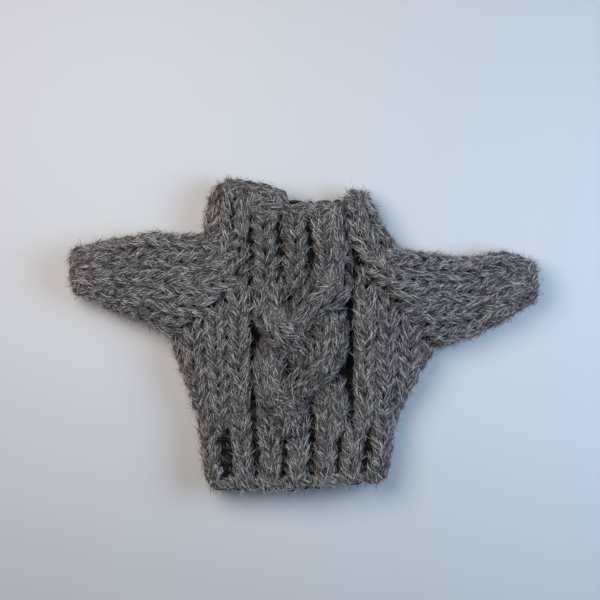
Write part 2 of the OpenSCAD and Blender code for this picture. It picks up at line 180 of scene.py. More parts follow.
class Wool:
    """Collects yarn tubes and stray fibres, and makes one mesh of them."""

    def __init__(self, name):
        self.name = name
        self.points, self.faces, self.fibre, self.tone = [], [], [], []
        self.count = 0
        self.paths, self.caps = [], []
        self.tips = np.zeros((0, 3), int)
        self.rng = np.random.default_rng(SEED + sum(map(ord, name)))
        # At these edges the heads of loops show, so leg is held at 0.75 or more and less shade is painted
        # on them.
        self.least = 0.75 if name.endswith(SHOWN_EDGES) else 0.0

    def add(self, points, faces, fibre, tone):
        """Adds points with their faces, their place in the streaks of the wool, and their tone, which
        carries painted shade as well.
        """
        self.points.append(points)
        self.faces.append(faces + self.count)
        self.fibre.append(fibre)
        self.tone.append(tone)
        self.count += len(points)

    def lobes(self, twist, along, phase):
        """How the yarn swells and thins: in turns, like spun wool, and at random."""
        lobes = 1 + 0.05 * np.sin(3 * twist) + 0.03 * np.sin(5 * twist + along * 1.3)
        lobes += 0.05 * np.sin(along * 1.9 + phase)
        lobes += self.rng.normal(0, 0.018, twist.shape)
        return lobes

    def yarn(self, path, normal, wide, flat, leg=None):
        """A closed tube along path: oval, lobed, and drawn in at its ends. leg is 0 where it's in shade;
        leg less 1 is kept as the tone, which paints that shade into the yarn's colour.
        """
        n = len(path)
        if n < 4:
            return
        tangent = unit(np.gradient(path, axis=0))
        across = unit(np.cross(normal, tangent))
        out = unit(np.cross(tangent, across))
        along = length_along(path)[:, None]
        phase = self.rng.uniform(0, 6.3)
        turn = np.arange(AROUND) / AROUND * 2 * np.pi
        twist = along * SPIN + phase + turn[None, :]
        lobes = self.lobes(twist, along, phase)
        close = np.ones(n)
        close[0] = close[-1] = END_SIZE
        wide = (wide * close)[:, None] * lobes
        flat = (flat * close)[:, None] * lobes
        ring = (path[:, None] + across[:, None] * (wide * np.cos(turn))[..., None]
                + out[:, None] * (flat * np.sin(turn))[..., None])
        quads = tube_faces(np.arange(n - 1) * AROUND, AROUND)
        fibre = np.stack([np.repeat(along * 0.09 + phase * 7, AROUND, 1), np.cos(twist), np.sin(twist)], -1)
        leg = np.ones(n) if leg is None else np.maximum(leg, self.least)
        self.caps.append([self.count + k for k in range(AROUND)][::-1])
        self.caps.append([self.count + (n - 1) * AROUND + k for k in range(AROUND)])
        self.add(ring.reshape(-1, 3), quads, fibre.reshape(-1, 3), np.repeat(leg - 1, AROUND))
        self.paths.append((path, tangent, out, across, leg))

    def roots(self, per_mm):
        """Random places on the yarn where it shows, with its directions there."""
        groups = []
        for path, tangent, out, across, leg in self.paths:
            length = np.linalg.norm(np.diff(path, axis=0), axis=1).sum()
            at = self.rng.integers(1, len(path) - 1, self.rng.poisson(length * per_mm))
            kept = 0.04 + 0.96 * leg[at] ** 1.7         # few of those that are in shade
            at = at[self.rng.uniform(0, 1, len(at)) < kept]
            groups.append((path[at], tangent[at], out[at], across[at], leg[at]))
        return (np.concatenate(g) for g in zip(*groups))

    def fuzz(self, share, per_mm, long, thick, lift, spread, curl):
        """Wool fibres, rooted in the yarn, that run along it and leave it at a low angle."""
        rng = self.rng
        root, tangent, out, across, leg = self.roots(per_mm * share)
        n = len(root)
        if not n:
            return
        angle = rng.normal(np.pi / 2, 0.8, n)[:, None]
        side = across * np.cos(angle) + out * np.sin(angle)
        start = root + across * np.cos(angle) * YARN_WIDE * 0.82 + out * np.sin(angle) * YARN_FLAT * 0.86
        sign = rng.choice([-1.0, 1.0], n)[:, None]
        rise = np.abs(rng.normal(0.0, lift, n))[:, None] + 0.08
        way = unit(tangent * sign + side * rise + rng.normal(0, spread, (n, 3)))
        bend = unit(np.cross(way, rng.normal(0, 1, (n, 3)))) * rng.uniform(0.1, curl, n)[:, None]
        size = rng.uniform(*long, n)[:, None]
        line = (start[:, None] + way[:, None] * (size * FIBRE_RINGS)[..., None]
                + bend[:, None] * (size * FIBRE_RINGS ** 2)[..., None] * 0.6)
        radius = thick * TAPER * rng.uniform(0.7, 1.3, (n, 1))
        streak = rng.uniform(0, 50, (n, 3))
        pale = rng.uniform(0, 1, n) < 0.6
        # Pale fibres are dimmed by leg, which paints shade on those rooted in shade; the others are dark
        # fibres, dark at random.
        tone = np.where(pale, rng.uniform(0.2, 1, n) * leg, rng.uniform(-0.9, 0, n))
        self.spikes(line, way, radius, streak, tone)

    def spikes(self, line, way, radius, streak, tone):
        """Thin closed spikes along short lines."""
        u = unit(np.cross(way, [0.31, 0.77, 0.55]))[:, None, None]
        v = unit(np.cross(way, u[:, 0, 0]))[:, None, None]
        turn = np.arange(FIBRE_SIDES)[:, None] / FIBRE_SIDES * 2 * np.pi
        ring = line[:, :, None] + radius[..., None, None] * (u * np.cos(turn) + v * np.sin(turn))
        base = np.arange(len(line)) * PER_FIBRE
        last = PER_FIBRE - FIBRE_SIDES
        quads = tube_faces(base[:, None] + np.arange(0, last, FIBRE_SIDES), FIBRE_SIDES)
        first = self.count + base
        self.tips = np.concatenate([self.tips, np.stack([first + 2, first + 1, first], -1),
                                    np.stack([first + last, first + last + 1, first + last + 2], -1)])
        self.add(ring.reshape(-1, 3), quads, np.repeat(streak, PER_FIBRE, 0), np.repeat(tone, PER_FIBRE))

    def mesh(self):
        """One mesh object of everything that was added, with its streaks and its tones, painted shade among
        them, as attributes.
        """
        points = np.concatenate(self.points) * MM
        pressed = PRESSED * MM
        low = points[:, 2] < pressed
        points[low, 2] = pressed * np.exp(points[low, 2] / pressed - 1)
        groups = [np.concatenate(self.faces), self.tips, np.array(self.caps)]
        loops = np.concatenate([faces.ravel() for faces in groups])
        sizes = np.concatenate([np.full(len(faces), faces.shape[1]) for faces in groups])
        starts = np.concatenate([[0], np.cumsum(sizes)[:-1]])
        data = bpy.data.meshes.new(self.name)
        data.vertices.add(len(points))
        data.vertices.foreach_set("co", points.ravel())
        data.loops.add(len(loops))
        data.loops.foreach_set("vertex_index", loops.astype(np.int32))
        data.polygons.add(len(sizes))
        data.polygons.foreach_set("loop_start", starts.astype(np.int32))
        data.polygons.foreach_set("use_smooth", np.ones(len(sizes), bool))
        data.update(calc_edges=True)
        fibre = data.attributes.new("fibre", "FLOAT_VECTOR", "POINT")
        fibre.data.foreach_set("vector", np.concatenate(self.fibre).ravel().astype(np.float32))
        tone = data.attributes.new("tone", "FLOAT", "POINT")
        tone.data.foreach_set("value", np.concatenate(self.tone).astype(np.float32))
        return linked(self.name, data)


def linked(name, data):
    """A new object, linked to the scene."""
    obj = bpy.data.objects.new(name, data)
    bpy.context.scene.collection.objects.link(obj)
    return obj


class Pieces(dict):
    """The pieces by name, each made when it is first asked for."""

    def __missing__(self, name):
        self[name] = Wool(name)
        return self[name]


wools = Pieces()


# ---------------------------------------------------------------- knitting

def on_cloth(cloth, c, r, w):
    """Points and surface normals of knitting coordinates c, r, w on a cloth."""
    e = 0.04
    here = cloth(c, r)
    dc = cloth(c + e, r) - cloth(c - e, r)
    dr = cloth(c, r + e) - cloth(c, r - e)
    normal = unit(np.cross(dc, dr))
    return here + normal * w[:, None], normal


def course(first, last, row, purl=()):
    """Knitting coordinates of one row of loops, and 1 where a leg faces out, falling to 0 at a head that
    lies back; this value later sets how much shade is painted on the yarn.
    """
    n = (last - first) * PER_STITCH + 1
    t = np.linspace(first, last, n)
    turn = 2 * np.pi * t
    c = t + LOOP_LEAN * np.sin(2 * turn)
    r = row - LOOP_TALL * np.cos(turn)
    front = -np.cos(2 * turn)
    stitch = np.clip(np.floor(t).astype(int), first, last - 1)
    side = np.where(np.isin(stitch, purl), -1.0, 1.0)
    kernel = np.hanning(PER_STITCH // 2 + 2)[1:-1]
    kernel /= kernel.sum()
    pad = len(kernel) // 2

    def blurred(values):
        return np.convolve(np.pad(values, pad, mode="edge"), kernel, mode="same")[pad:pad + n]

    steady = np.abs(blurred(side)) > 0.999          # away from a change between knit and purl
    w = np.where(steady, front * side, blurred(front * side))
    return c, r, w * LOOP_DEEP, (front + 1) / 2


def run(wool, cloth, start, end, row, purl=(), shift=None, shown=None, wide=1.0):
    """One length of yarn: the stitches of one row from start to end.

    purl lists its purl columns, shift(c, r) lifts points off the cloth, shown(c, r) says how much shade to
    paint on them, from 1 for none to 0 for the most, and wide widens the yarn."""
    c, r, w, leg = course(start, end, row, purl)
    knots = np.linspace(0, 1, (end - start) * 2 + 2)
    at = np.linspace(0, 1, len(c))

    def uneven(amount):
        return np.interp(at, knots, wool.rng.normal(0, amount, len(knots)))

    c = c + uneven(SHAKE * 0.6)
    r = r + uneven(SHAKE)
    w = w + uneven(LIFT_SHAKE)
    if shift is not None:
        w = w + shift(c, r)
    path, normal = on_cloth(cloth, c, r, w)
    thick = 0.74 + 0.26 * leg + uneven(0.04)
    if shown is not None:
        # shown lowers leg: this paints shade into the yarn's colour and dims its pale fibres.
        leg = leg * np.clip(shown(c, r), 0, 1)
    wool.yarn(path, normal, YARN_WIDE * wide * thick, YARN_FLAT * thick, leg)


def knit(cloth, rows, first, last, owner, **how):
    """Knits rows of stitches on a cloth, from column first up to column last.

    owner(middle of stitch, column, row) names the piece that a stitch belongs to, or says None."""
    for row in rows:
        stitches = np.arange(first, last)
        middle = cloth(stitches + 0.5, np.full(len(stitches), float(row)))
        names = [owner(p, int(k), row) for p, k in zip(middle, stitches)] + [None]
        start = 0
        for i in range(1, len(names)):
            if names[i] != names[start]:
                if names[start] is not None:
                    run(wools[names[start]], cloth, first + start, first + i, row, **how)
                start = i


def always(name):
    """An owner that gives every stitch to one piece."""
    return lambda p, column, row: name


def point(x, y, z):
    """Points from their coordinates, which may be arrays or single numbers."""
    return np.stack(np.broadcast_arrays(x, y, z), -1)


# ---------------------------------------------------------------- cloths

def rolled(arc):
    """Way in from the outermost line, and height from the middle, of a point that far round a rounded edge.

    Negative arcs are on the back."""
    bend = np.clip(np.abs(arc) / QUARTER, 0, 1) * np.pi / 2
    over = np.maximum(np.abs(arc) - QUARTER, 0)
    return ROLL * (1 - np.cos(bend)) + over, np.sign(arc) * HALF * np.sin(bend)


def wrapped(x, left, right):
    """Turns a flat width in at both sides: places across, and heights from the middle."""
    from_left, left_height = rolled(x - left - ROLL + QUARTER)
    from_right, right_height = rolled(right - x - ROLL + QUARTER)
    height = np.where(x < MID_X, left_height, right_height)
    return np.where(x < MID_X, left + from_left, right - from_right), height


def bumps(x, y):
    """Slow unevenness of a hand-knitted fabric."""
    return 0.35 * np.sin(x * 0.21 + y * 0.13 + 1.0) + 0.25 * np.sin(x * 0.11 - y * 0.27 + 2.2)


def body_left(y):
    """How far left the body reaches at a height: narrow at the hem, and widest at the underarm."""
    return through(y, [(HEM_LOW, HEM_LEFT), (HEM_HIGH, HEM_TOP_LEFT), (ARM_Y, ARM_LEFT),
                       (ARM_Y + 30, ARM_LEFT - 7)]) + 0.6


def body_right(y):
    """How far right the body reaches at a height."""
    return through(y, [(HEM_LOW, HEM_RIGHT - 1.2), (HEM_HIGH, HEM_TOP_RIGHT - 0.9), (ARM_Y, ARM_RIGHT),
                       (ARM_Y + 30, ARM_RIGHT + 7)]) - 0.6


def left_raglan(y):
    """Where the left front raglan line is at a height: it goes up a slope, and then beside the panel."""
    return through(y, [(ARM_Y, ARM_LEFT - 1), (ARM_Y + 12.6, PANEL_LEFT - 8.8),
                       (ARM_Y + 20, PANEL_LEFT - 0.3), (NECK_FOLD - 2, PANEL_LEFT + 0.2),
                       (NECK_FOLD + 10, NECK_LEFT)])


def right_raglan(y):
    """Where both right raglan lines are at a height."""
    return through(y, [(ARM_Y, ARM_RIGHT), (NECK_FOLD - 5.6, NECK_RIGHT + 3.2),
                       (NECK_FOLD + 1, NECK_RIGHT - 0.4), (NECK_FOLD + 10, NECK_RIGHT)])


def left_back_raglan(y):
    """Where the left back raglan line is at a height: it is straight."""
    return -21 + (y - NECK_FOLD) * 0.55


def groove(beside, wide, deep):
    """How deep a raglan line's groove is, that far beside the line."""
    return deep * np.exp(-(np.abs(beside) / wide) ** 2)


def crease(x, y):
    """The fabric dips into the raglan lines, above the underarms."""
    dip = groove(x - left_raglan(y), 2.1, 1.9) + groove(x - right_raglan(y), 1.7, 3.6)
    return -smooth(y, ARM_Y - 4, ARM_Y + 2) * dip


def in_groove(cloth):
    """Painted shade on a cloth: darker where it dips into a raglan line."""
    def shown(c, r):
        p = cloth(c, r)
        return 1 + 0.12 * crease(p[..., 0], p[..., 1])
    return shown


def tuck(beyond, y):
    """The body's last stitches slip under the sleeve at the raglan."""
    return -2.6 * smooth(beyond, -1.8, 2.2) * smooth(y, ARM_Y - 2, ARM_Y + 3)


def wale(y):
    """Width of one column of the body, which widens towards the underarms."""
    return 5.2 + 1.2 * smooth(y, HEM_HIGH - 4, ARM_Y)


def ripple(x, phase):
    """The rows wave a little."""
    return 0.3 * np.sin(x * 0.3 + phase)


def left_field(c, r):
    """c is 0 at the cable panel and falls to the left; r counts rows up from the hem rib."""
    y = FIELD_LOW + r * ROW
    left = body_left(y)
    across, height = rolled(PANEL_LEFT - left - ROLL + QUARTER + c * wale(y))
    x = left + across
    z = MIDDLE + height + bumps(x, y) + crease(x, y) + tuck(left_raglan(y) - x, y)
    return point(x, y + ripple(x, 0), z)


def right_field(c, r):
    """c is 0 at the cable panel and rises to the right."""
    y = FIELD_LOW + r * ROW
    right = body_right(y)
    across, height = rolled(right - PANEL_RIGHT - ROLL + QUARTER - c * wale(y))
    x = right - across
    z = MIDDLE + height + bumps(x, y) + crease(x, y) + tuck(x - right_raglan(y), y)
    return point(x, y + ripple(x, 1), z)


def back_cloth(c, r):
    """The back: c is 0 in the middle and rises to the left, seen from the front."""
    y = HEM_HIGH + r * ROW
    x, height = wrapped(MID_X - c * wale(y), body_left(y), body_right(y))
    return point(x, y, MIDDLE - height + bumps(x + 30, y) * 0.6 - crease(x, y) * 0.6)


class Rib:
    """Columns of a rib, knit and purl in turn, given by the places where each one starts."""

    def __init__(self, edges, knits):
        self.edges = np.array(edges)
        self.count = len(edges) - 1
        self.purl = [k for k in range(self.count) if k not in knits]

    def place(self, c):
        """Where a column coordinate is across the garment. Past the rib's ends, columns are 5 mm wide."""
        over = np.maximum(c - self.count, 0) + np.minimum(c, 0)
        return np.interp(c, np.arange(self.count + 1), self.edges) + over * 5

    def hump(self, c):
        """Whether c is on a purl column, and how near it is to its column's middle, from 0 to 1."""
        column = np.clip(np.floor(c).astype(int), 0, self.count - 1)
        return np.isin(column, self.purl), np.sin(np.pi * np.clip(c - column, 0, 1))

    def relief(self, c, r):
        """Purl columns sink into valleys, and knit columns stand up as ridges."""
        purl, hump = self.hump(c)
        return np.where(purl, -1.7 * hump, 0.75 * hump)

    def shown(self, c, r):
        """Painted shade: the valleys are darkened, and so are the sides of the ridges."""
        purl, hump = self.hump(c)
        return np.where(purl, 0.75 - 0.35 * hump, 0.75 + 0.25 * smooth(hump, 0, 0.5))

    def knit(self, cloth, rows, first, last, owner):
        knit(cloth, rows, first, last, owner, purl=self.purl, shift=self.relief, shown=self.shown)


HEM_ROWS = 5.4                            # height of the hem rib, in rows
HEM_WIDE = (HEM_TOP_RIGHT - HEM_TOP_LEFT + HEM_RIGHT - HEM_LEFT) / 2
RIDGE = HEM_WIDE / 6.78                   # from one hem ridge to the next
RIDGE_HALF = 5.7 / 2                      # half width of a hem ridge
RIDGES = [MID_X - RIDGE * 3.22] + [MID_X + RIDGE * (k - 0.03) for k in range(-2, 4)]
HEM_RIB = Rib([x + d for x in RIDGES for d in (-RIDGE_HALF, RIDGE_HALF)], knits=range(0, 13, 2))
NECK_RIB = Rib([PANEL_LEFT + k for k in (-3.0, -0.3, 0.9, 7.8, 9.3, 16.3, 18.0, 24.4, 26.2)],
               knits=(0, 2, 4, 6, 7))
GUTTER = PANEL_LEFT + 2.2                 # right edge of the narrow first column of purl
GROUND = Rib([PANEL_LEFT, GUTTER] + [GUTTER + 5.06 * k for k in range(1, 6)] + [PANEL_RIGHT], knits=())


def hem_cloth(c, r):
    """The front hem rib: c counts ridges and valleys from the left, r rows up from the cast-on edge."""
    flat = HEM_RIB.place(c)
    low = HEM_LOW + HEM_RISE * smooth(flat, -10, HEM_RIGHT)
    y = low + (HEM_HIGH - low) * r / HEM_ROWS
    spread = 1 + 0.045 * (2 * (y - low) / (HEM_HIGH - low) - 1)
    x, height = wrapped(MID_X + (flat - MID_X) * spread, body_left(y), body_right(y))
    wave = 0.5 * np.sin(flat * 0.8)
    return point(x, y + wave * smooth(-r, -1.5, 0), MIDDLE + height + bumps(x, y))


def hem_back_cloth(c, r):
    """The back hem rib, with its columns counted from the right."""
    p = hem_cloth(HEM_RIB.count - c, r)
    p[..., 2] = 2 * MIDDLE - p[..., 2]
    return p


def neck_cloth(c, r):
    """The rib above the plait and up the front of the neck; r counts rows up from the plait's top."""
    y = PLAIT_TOP + r * ROW
    x = NECK_RIB.place(c) + 0.4 * np.sin(y * 0.35)
    under_plait = 1.4 * (1 - smooth(r, -2.2, -0.8))
    return point(x, y, TOP + 0.2 + bumps(x, y) - under_plait)


def back_neck_cloth(c, r):
    """The rib at the back of the neck, with its columns counted from the right."""
    return point(NECK_RIB.place(NECK_RIB.count - c), NECK_FOLD + 0.6 + r * ROW, BOTTOM - 0.1)


def ground_cloth(c, r):
    """Purl stitches beside and under the plait."""
    y = FIELD_LOW + r * ROW
    x = GROUND.place(c)
    return point(x, y, TOP - 2.8 + 0.5 * bumps(x, y))


# ---------------------------------------------------------------- plait

PLAIT_X = (box("plait_strand_a")[0][0] + box("plait_strand_a")[1][0]) / 2 + 0.9
SWING = 8.8                         # how far a strand swings to each side
CROSS_FIRST = PLAIT_TOP - 9.7       # height of the topmost crossing
CROSS_STEP = 10.1                   # from one crossing to the next
STRAND = 4.25                       # half width of a strand


def plait_angle(y, turn):
    """Where a strand is in its round of six crossings, in degrees; it runs straight into hem and neck."""
    held = np.clip(y, PLAIT_LOW + 2.0, CROSS_FIRST + 4.6)
    return np.mod(150 + turn + 60 * (CROSS_FIRST - held) / CROSS_STEP, 360)


def plait_side(angle):
    """Sideways place of a strand, from -1 to 1: it crosses to the middle, pauses, and crosses on."""
    steps = (smooth(angle, 3, 57) - smooth(angle, 123, 177)
             - smooth(angle, 183, 237) + smooth(angle, 303, 357))
    return 0.5 * steps + 0.52 * np.sin(np.radians(angle))


def plait_over(angle):
    """1 where a strand passes over another one, and -1 where it passes under."""
    near = lambda a: np.exp(-((angle - a) / 29) ** 2)
    return near(150) + near(330) - near(210) - near(30) - near(390)


class Strand:
    """One strand of the plait: two columns of knitting that swing across the panel."""

    def __init__(self, turn):
        self.turn = turn
        self.y = np.linspace(PLAIT_LOW - 8, PLAIT_TOP + 12, 800)
        side = plait_side(plait_angle(self.y, turn))
        reach = 2.6 * smooth(self.y, CROSS_FIRST - 1, CROSS_FIRST + 3) * smooth(side, 0.2, 0.9)
        reach = reach * (1 - smooth(self.y, CROSS_FIRST + 4, CROSS_FIRST + 9))
        drift = -1.7 * smooth(self.y, CROSS_FIRST + 2, PLAIT_TOP)
        self.x = PLAIT_X + SWING * side + reach + drift
        step = np.hypot(np.diff(self.x), np.diff(self.y))
        self.s = np.concatenate([[0], np.cumsum(step)])
        self.s -= np.interp(PLAIT_LOW, self.y, self.s)
        self.lean = np.gradient(self.x, self.s)
        self.rows = np.arange(-0.45, np.interp(PLAIT_TOP, self.y, self.s) / ROW / PLAIT_ROW + 0.2, 1.0)

    def along(self, r, values):
        """What a value of the strand is at row r."""
        return np.interp(r * ROW * PLAIT_ROW, self.s, values)

    def cloth(self, c, r):
        """c is 0 at the strand's left edge and 2 at its right edge; r counts rows up from its lower end."""
        lean = self.along(r, self.lean)
        side = (c - 1) * STRAND
        x = self.along(r, self.x) + side * np.sqrt(np.maximum(1 - lean ** 2, 0.01))
        y = self.along(r, self.y) - side * lean
        over = plait_over(plait_angle(y, self.turn)) * (1 - smooth(y, CROSS_FIRST + 3, CROSS_FIRST + 8))
        under_rib = 1.7 * smooth(y, CROSS_FIRST + 5.5, CROSS_FIRST + 9)
        rise = 0.3 + 2.5 * over + 0.3 * smooth(over, 0, 1) - under_rib
        rise = rise - (1.8 + 0.5 * over) * np.abs(c - 1) ** 3
        return point(x, y, TOP + rise + 0.5 * bumps(x, y))

    def shown(self, c, r):
        """Painted shade on the strand's sides, and on the part of it that passes under another strand."""
        over = plait_over(plait_angle(self.along(r, self.y), self.turn))
        return 1 - 0.5 * smooth(np.abs(c - 1), 0.5, 1.0) - 0.3 * smooth(-over, 0.1, 0.9)


# ---------------------------------------------------------------- sleeves

CUFF_IN = 4.7                       # the first row of loops is this far in from the cuff's end
BLOCK_ROUND = 5.5                   # radius of the top of a sleeve's block
BLOCK_END = 1.75                    # how far round it the block's last stitches are, in radians
SLEEVE_ARM = abs(FOLD_LEFT)         # how far out the sleeves' folds are
RAGLAN_WIDE = 4.6                   # width of the strip of sleeve that belongs to a raglan seam
ROUNDED = QUARTER * 0.75            # the part of a quarter turn that belongs to an edge or a seam
INNER_END = 31                      # pieces that lie nearer the middle than this are close to the body


class Sleeve:
    """A flattened tube of knitting, with c counted from its upper fold and r from its cuff.

    top and low are its outline, and end is how far out it reaches. Past its corner, beside the neck, it
    turns up by the angle turn, and it ends there in a rounded block: outer is the block's outer side, peak
    its top, bow how fast it falls from there, and narrow how much it narrows upwards."""

    def __init__(self, name, side, corner, turn, top, low, end, outer, peak, bow, narrow):
        self.name, self.side, self.corner, self.turn = name, side, corner, turn
        self.top, self.low, self.cuff, self.outer = top, low, end - CUFF_IN, outer
        self.peak, self.bow, self.narrow = peak, bow, narrow

    def along(self, r):
        """How far out a row is, measured as if the sleeve went on straight."""
        return self.cuff - r * ROW * SLEEVE_ROW

    def width(self, out):
        """Width of one column."""
        return 4.7 + 1.5 * smooth(-out, -60, -34)

    def girth(self, out):
        """The tube's upper and lower edges, and the way from its upper fold to its lower one."""
        top, low = through(out, self.top), through(out, self.low)
        return top, low, top - low - 2 * ROLL + 2 * QUARTER

    def tube(self, c, r):
        """The tube before it turns, narrowed and rounded at the cuff."""
        out = np.maximum(self.along(r), self.corner[0])
        top, low, total = self.girth(out)
        arc = np.abs(c) * self.width(out)
        near, height_near = rolled(arc)
        far, height_far = rolled(total - arc)
        first = arc < total / 2
        y = np.where(first, top - near, low + far)
        height = np.where(first, height_near, height_far) * np.sign(-c * self.side)
        tip = smooth(out, self.cuff - 6, self.cuff + 1)
        height = height * (1 - 0.3 * tip)
        y = y + ((top + low) / 2 - y) * 0.14 * tip
        return out - 1.2 * tip * (1 - np.cos((y - (top + low) / 2) * 0.2)), y, height

    def turned(self, out, y, r):
        """Turns what is past the corner up beside the neck."""
        reach = np.maximum(self.corner[1] - y, 0.5)
        gone = np.maximum(self.corner[0] - self.along(r), 0)
        slow = 0.6 * reach + 4
        turned = np.clip(gone / slow, 0, self.turn)
        rest = np.maximum(gone - self.turn * slow, 0)
        out = out - reach * np.sin(turned) - rest * np.cos(self.turn)
        return out, y + (reach - reach * np.cos(turned)) + rest * np.sin(self.turn)

    def block(self, out, y, height):
        """Rounds the block off at its peak, and says how far past that each point would be."""
        edge = through(y, self.outer)
        out = edge - (edge - out) * (1 - self.narrow * smooth(y, NECK_FOLD, self.peak[1]))
        start = self.peak[1] - BLOCK_ROUND - self.bow * np.minimum((out - self.peak[0]) ** 2, 50)
        past = np.maximum(y - start, 0) / BLOCK_ROUND
        closing = np.minimum(past, np.pi / 2)
        y = np.minimum(y, start) + BLOCK_ROUND * np.sin(closing)
        height = height * np.maximum(np.cos(closing), 0.06)
        out = self.peak[0] + (out - self.peak[0]) * (1 - 0.24 * (1 - np.cos(closing)))
        return out, y, height, past

    def shape(self, c, r):
        """Points of the sleeve, and how far each is past its rounded end, in radians."""
        out, y, height = self.tube(c, r)
        out, y = self.turned(out, y, r)
        out, y, height, past = self.block(out, y, height)
        x = self.side * out
        uneven = bumps(x, y) + 0.6 * crease(x, y)
        z = MIDDLE + height + uneven * np.sign(height) * smooth(np.abs(height), 0, HALF)
        return point(x, y, z), past

    def cloth(self, c, r):
        return self.shape(c, r)[0]

    def past_raglan(self, p, front):
        """How far a point is on the body's side of the raglan line."""
        if self.side > 0:
            return right_raglan(p[1]) - p[0]
        return p[0] - (left_raglan(p[1]) if front else left_back_raglan(p[1]))

    def owner(self, p, column, row):
        """The piece that a stitch is part of. The names of pieces close to the body end in _inner."""
        front = p[2] > MIDDLE
        inward = self.past_raglan(p, front)
        past = self.shape(np.array([column + 0.5]), np.array([float(row)]))[1][0]
        section = max(self.along(row), self.corner[0])
        total = self.girth(section)[2]
        arc = abs(column + 0.5) * self.width(section)
        if past > BLOCK_END or inward > 0.5 or arc > total + 0.05 * self.width(section):
            return None
        if p[1] > NECK_FOLD + 1.4:
            return f"{self.name}_sleeve_top"
        face = "front" if front else "back"
        if inward > -RAGLAN_WIDE and p[1] > ARM_Y + 3:
            return f"{self.name}_{face}_raglan"
        out = self.side * p[0]
        if out > self.cuff - 2.0:
            return f"{self.name}_cuff"
        sleeve = out > SLEEVE_ARM
        if arc > total - ROUNDED:
            return f"{self.name}_sleeve_seam" if sleeve else f"{self.name}_underarm_seam"
        part = "sleeve" if sleeve else "shoulder"
        inner = "_inner" if out < INNER_END else ""
        return f"{self.name}_{part}_{'edge' if arc < ROUNDED else face}{inner}"


def sleeve_boxes(side):
    """The boxes of a sleeve's cuff, seam, upper edge and block."""
    return (box(f"{side}_{part}") for part in ("cuff", "sleeve_seam", "sleeve_edge", "sleeve_top"))


def left_sleeve():
    """The broad sleeve at -X, whose block stands straight up."""
    cuff, seam, edge, block = sleeve_boxes("left")
    end, arm = -cuff[0][0], abs(ARM_LEFT)
    high = edge[1][1]
    corner = (-block[0][0] - 1.0, high - 0.6)
    top = [(end, cuff[1][1] - 0.6), (SLEEVE_ARM + 8, high - 3.0), (SLEEVE_ARM - 1, high - 0.9),
           (SLEEVE_ARM - 10, high - 1.5), (10, high - 1.5)]
    low = [(end, cuff[0][1] + 1.2), (SLEEVE_ARM + 11, seam[0][1] * 0.5 + cuff[0][1] * 0.5 + 1.8),
           (SLEEVE_ARM, seam[0][1] + 0.9), (arm, ARM_Y + 1.8), (10, ARM_Y + 1.8)]
    outer = [(NECK_FOLD, corner[0]), (block[1][1], corner[0] - 1.0)]
    peak = (-block[1][0] + 3.0, block[1][1] - 1.3)
    return Sleeve("left", -1, corner, 1.46, top, low, end, outer, peak, bow=0.13, narrow=0.16)


def right_sleeve():
    """The narrower sleeve at +X, whose block leans in and narrows upwards."""
    cuff, seam, edge, block = sleeve_boxes("right")
    end, arm = cuff[1][0], abs(ARM_RIGHT)
    high = edge[1][1]
    corner = (block[1][0] + 3.0, high + 1.6)
    top = [(end, cuff[1][1] - 1.2), (end - 8, high + 0.6), (SLEEVE_ARM, high - 1.7),
           (SLEEVE_ARM - 7, high - 0.4), (corner[0], corner[1] - 0.8), (10, corner[1] - 0.8)]
    low = [(end, cuff[0][1] + 1.0), (SLEEVE_ARM, seam[0][1] + 0.4), (arm, ARM_Y), (10, ARM_Y - 6)]
    outer = [(corner[1], corner[0]), (NECK_FOLD + 4, block[1][0] - 1.8),
             (block[1][1] - 2, block[0][0] + 7.8)]
    peak = (block[0][0] + 5.2, block[1][1] - 1.5)
    return Sleeve("right", 1, corner, 1.1, top, low, end, outer, peak, bow=0.20, narrow=0.42)


SLEEVES = (left_sleeve(), right_sleeve())


# ---------------------------------------------------------------- seams and edges

CHAIN_PITCH = 4.4                   # length of one stitch of a bound-off edge


def on_line(s, along, line):
    """The points that are a distance s along a line."""
    return np.stack([np.interp(s, along, line[:, k]) for k in range(3)], -1)


def twisted(wool, points, up, pitch, size=0.85, thick=0.85):
    """Two strands twisted round each other along a line, as in a cast-on edge or an overcast seam."""
    points = np.array(points, float)
    ups = np.broadcast_to(np.array(up, float), points.shape)
    along = length_along(points)
    s = np.linspace(0, along[-1], max(int(along[-1] / 0.28), 6))
    line = on_line(s, along, points)
    up = unit(on_line(s, along, ups))
    side = unit(np.cross(up, np.gradient(line, axis=0)))
    wide, flat = np.full(len(s), YARN_WIDE * thick), np.full(len(s), YARN_FLAT * thick)
    for half in (0, np.pi):
        turn = s / pitch * 2 * np.pi + half
        way = side * np.cos(turn)[:, None] + up * np.sin(turn)[:, None]
        wool.yarn(line + way * size, way, wide, flat)


def chain(wool, line, out, width):
    """A bound-off edge: one column of stitches that runs along a line. out is the way that it faces."""
    line = np.array(line, float)
    along = length_along(line)

    def cloth(c, r):
        s = r * CHAIN_PITCH
        tangent = on_line(s + 0.5, along, line) - on_line(s - 0.5, along, line)
        across = unit(np.cross(unit(tangent), np.array(out)[None, :]))
        return on_line(s, along, line) + across * ((c - 0.5) * 2 * width)[..., None]

    for row in np.arange(0.5, along[-1] / CHAIN_PITCH, 1.0):
        run(wool, cloth, 0, 1, row, wide=0.95)


# ---------------------------------------------------------------- materials

